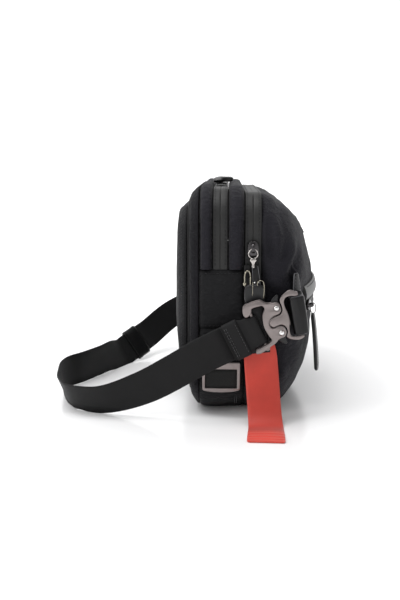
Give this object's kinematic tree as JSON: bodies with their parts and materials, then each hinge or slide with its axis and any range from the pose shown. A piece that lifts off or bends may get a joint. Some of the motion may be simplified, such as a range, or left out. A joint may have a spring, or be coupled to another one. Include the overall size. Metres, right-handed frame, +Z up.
{
  "type": "waist bag",
  "caption": "Soft black waist bag standing on its base, with zipped compartments, a webbing belt closed by a metal side-release buckle, and a ribbon tag on a clasp.",
  "frame": {"origin": "on the floor plane under the bag, midway along its width, on the front base gusset", "axes": "+Z up; +X towards the front of the bag, -X towards the wearer; Y along the bag's width, the buckle end is at -Y"},
  "size_m": [0.2521, 0.3339, 0.2134],
  "materials": {
    "pad_fabric": "padded knit, matte",
    "body_fabric": "tight nylon weave, matte",
    "lining_fabric": "plain lining",
    "stiffener": "raw board",
    "zip_tape": "coated, satin",
    "zip_coil": "moulded coil",
    "webbing": "smooth belt webbing",
    "leather": "black, smooth, semi gloss",
    "gunmetal": "warm grey plating, satin",
    "black_metal": "black, satin",
    "slider_metal": "dark nickel",
    "rivet_steel": "polished",
    "pale_gold": "pale plating",
    "ribbon": "red satin ribbon"
  },
  "bodies": {
    "bag": {"back_pad": "pad_fabric", "rear_edge_band": "body_fabric", "rear_panel": "pad_fabric", "rear_slip_pocket": "lining_fabric", "rear_gusset_strip": "body_fabric", "main_zip_tape_rear": "zip_tape", "main_zip_tape_front": "zip_tape", "main_zip_coil": "zip_coil", "middle_gusset_strip": "body_fabric", "front_zip_tape_rear": "zip_tape", "front_zip_tape_front": "zip_tape", "front_zip_coil": "zip_coil", "side_panel_near": "body_fabric", "side_panel_far": "body_fabric", "base_gusset": "body_fabric", "front_base_gusset": "body_fabric", "divider_panel": "lining_fabric", "base_board": "stiffener", "front_panel": "body_fabric", "pocket_zip_tape_upper": "zip_tape", "pocket_zip_tape_lower": "zip_tape", "pocket_zip_coil": "zip_coil", "pocket_welt": "zip_tape", "label_patch": "leather", "badge_frame": "gunmetal", "badge_panel": "black_metal", "waist_strap": "webbing", "near_leather_tab": "leather", "near_tab_patch": "leather", "far_tab_patch": "leather", "buckle_male_plate": "gunmetal", "buckle_tab_bar": "gunmetal", "tag_anchor_loop": "webbing", "tag_clasp_body": "black_metal", "tag_clasp_hook": "pale_gold", "tag_ribbon_head": "ribbon"},
    "main_slider": {"main_slider": "slider_metal"},
    "main_puller": {"main_puller_ring": "gunmetal", "main_puller_tab": "leather"},
    "front_slider": {"front_slider": "slider_metal"},
    "front_puller": {"front_puller_ring": "gunmetal", "front_puller_fork": "rivet_steel", "front_puller_tab": "leather"},
    "pocket_slider": {"pocket_slider": "slider_metal"},
    "pocket_puller": {"pocket_puller_ring": "gunmetal", "pocket_puller_tab": "leather"},
    "buckle_female": {"buckle_female_front": "gunmetal", "buckle_female_back": "gunmetal", "buckle_strap_bar": "gunmetal", "rivet_upper": "rivet_steel", "rivet_lower": "rivet_steel", "strap_end_loop": "webbing", "strap_keeper": "webbing"},
    "lever_upper": {"lever_upper": "black_metal", "lever_spring_upper": "rivet_steel"},
    "lever_lower": {"lever_lower": "black_metal", "lever_spring_lower": "rivet_steel"},
    "strap_adjuster": {"strap_adjuster": "black_metal"},
    "clasp_gate": {"tag_clasp_gate": "pale_gold"},
    "ribbon_tail": {"tag_ribbon_tail": "ribbon"}
  },
  "joints": [
    {"name": "main_zip_slide", "type": "slide", "parent": "bag", "child": "main_slider", "axis": [0, 1, 0], "range_m": [-0.07, 0.114]},
    {"name": "main_puller_lift", "type": "hinge", "parent": "main_slider", "child": "main_puller", "pos_m": [-0.0233, -0.0224, 0.20665], "axis": [-1, 0, 0], "range_deg": [0, 150]},
    {"name": "front_zip_slide", "type": "slide", "parent": "bag", "child": "front_slider", "axis": [0, 0, 1], "range_m": [0, 0.017]},
    {"name": "front_puller_lift", "type": "hinge", "parent": "front_slider", "child": "front_puller", "pos_m": [0.0052, -0.13265, 0.1511], "axis": [-1, 0, 0], "range_deg": [0, 150]},
    {"name": "pocket_zip_travel", "type": "hinge", "parent": "bag", "child": "pocket_slider", "pos_m": [-0.2313, 0, 0.0948], "axis": [0, 0, 1], "range_deg": [0, 33.5]},
    {"name": "pocket_puller_lift", "type": "hinge", "parent": "pocket_slider", "child": "pocket_puller", "pos_m": [0.06214, -0.08971, 0.0948], "axis": [-0.2924, -0.9563, 0], "range_deg": [0, 130]},
    {"name": "buckle_release", "type": "slide", "parent": "bag", "child": "buckle_female", "axis": [-0.9613, 0, -0.2756], "range_m": [0, 0.02]},
    {"name": "lever_upper_press", "type": "hinge", "parent": "buckle_female", "child": "lever_upper", "pos_m": [0.0249, -0.1463, 0.1028], "axis": [0, 1, 0], "range_deg": [0, 8]},
    {"name": "lever_lower_press", "type": "hinge", "parent": "buckle_female", "child": "lever_lower", "pos_m": [0.0297, -0.1463, 0.0816], "axis": [0, -1, 0], "range_deg": [0, 8]},
    {"name": "adjuster_slide", "type": "slide", "parent": "bag", "child": "strap_adjuster", "axis": [0.4785, 0.8427, 0.2468], "range_m": [-0.007, 0.007]},
    {"name": "clasp_gate_open", "type": "hinge", "parent": "bag", "child": "clasp_gate", "pos_m": [0.0029, -0.1352, 0.1207], "axis": [0, -1, 0], "range_deg": [0, 20]},
    {"name": "ribbon_flap", "type": "hinge", "parent": "bag", "child": "ribbon_tail", "pos_m": [0.0126, -0.138, 0.0542], "axis": [-1, 0, 0], "range_deg": [0, 35]}
  ]
}
